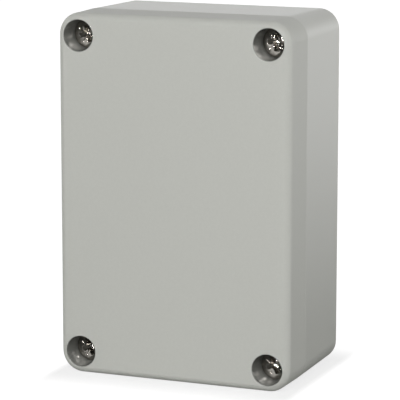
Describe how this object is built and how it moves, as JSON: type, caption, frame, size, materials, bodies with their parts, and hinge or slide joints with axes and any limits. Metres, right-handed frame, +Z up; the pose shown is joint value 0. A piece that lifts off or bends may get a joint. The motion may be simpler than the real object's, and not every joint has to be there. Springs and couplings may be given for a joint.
{
  "type": "electrical enclosure",
  "caption": "Small sealed plastic electrical enclosure: drafted base with wall-fixing wells and board pillars, gasketed lid held by captive cross-recess corner screws.",
  "frame": {"origin": "under the middle of the box, on the plane of its lowest point as it stands on its short end", "axes": "+Z up along the long side, lid towards -Y, back towards +Y, +X to the right when looking at the lid"},
  "size_m": [0.066, 0.0396, 0.098],
  "materials": {
    "base_plastic": "fine eggshell texture, light grey",
    "lid_plastic": "fine eggshell texture, light grey",
    "seal_rubber": "soft matte",
    "plated_steel": "bright nickel plate",
    "nylon": "natural nylon",
    "brass": "turned"
  },
  "bodies": {
    "base": {"base_housing": "base_plastic", "thread_insert_top_left": "brass", "thread_insert_top_right": "brass", "thread_insert_bottom_left": "brass", "thread_insert_bottom_right": "brass"},
    "lid": {"lid": "lid_plastic", "lid_gasket": "seal_rubber"},
    "ring_top_left": {"snap_ring_top_left": "nylon"},
    "screw_top_left": {"lid_screw_top_left": "plated_steel"},
    "ring_top_right": {"snap_ring_top_right": "nylon"},
    "screw_top_right": {"lid_screw_top_right": "plated_steel"},
    "ring_bottom_left": {"snap_ring_bottom_left": "nylon"},
    "screw_bottom_left": {"lid_screw_bottom_left": "plated_steel"},
    "ring_bottom_right": {"snap_ring_bottom_right": "nylon"},
    "screw_bottom_right": {"lid_screw_bottom_right": "plated_steel"}
  },
  "joints": [
    {"name": "lid_lift", "type": "slide", "parent": "base", "child": "lid", "axis": [0, -1, 0], "range_m": [0, 0.06]},
    {"name": "screw_travel_top_left", "type": "slide", "parent": "lid", "child": "ring_top_left", "axis": [0, -1, 0], "range_m": [0, 0.007]},
    {"name": "screw_turn_top_left", "type": "hinge", "parent": "ring_top_left", "child": "screw_top_left", "pos_m": [-0.0269, -0.01125, 0.0919], "axis": [0, -1, 0], "range_deg": [0, 3600]},
    {"name": "screw_travel_top_right", "type": "slide", "parent": "lid", "child": "ring_top_right", "axis": [0, -1, 0], "range_m": [0, 0.007]},
    {"name": "screw_turn_top_right", "type": "hinge", "parent": "ring_top_right", "child": "screw_top_right", "pos_m": [0.0269, -0.01125, 0.0919], "axis": [0, -1, 0], "range_deg": [0, 3600]},
    {"name": "screw_travel_bottom_left", "type": "slide", "parent": "lid", "child": "ring_bottom_left", "axis": [0, -1, 0], "range_m": [0, 0.007]},
    {"name": "screw_turn_bottom_left", "type": "hinge", "parent": "ring_bottom_left", "child": "screw_bottom_left", "pos_m": [-0.0269, -0.01125, 0.0061], "axis": [0, -1, 0], "range_deg": [0, 3600]},
    {"name": "screw_travel_bottom_right", "type": "slide", "parent": "lid", "child": "ring_bottom_right", "axis": [0, -1, 0], "range_m": [0, 0.007]},
    {"name": "screw_turn_bottom_right", "type": "hinge", "parent": "ring_bottom_right", "child": "screw_bottom_right", "pos_m": [0.0269, -0.01125, 0.0061], "axis": [0, -1, 0], "range_deg": [0, 3600]}
  ],
  "couplings": [
    {"joint": "screw_turn_top_left", "follows": "screw_travel_top_left", "rad_per_m": 8976},
    {"joint": "screw_turn_top_right", "follows": "screw_travel_top_right", "rad_per_m": 8976},
    {"joint": "screw_turn_bottom_left", "follows": "screw_travel_bottom_left", "rad_per_m": 8976},
    {"joint": "screw_turn_bottom_right", "follows": "screw_travel_bottom_right", "rad_per_m": 8976}
  ]
}
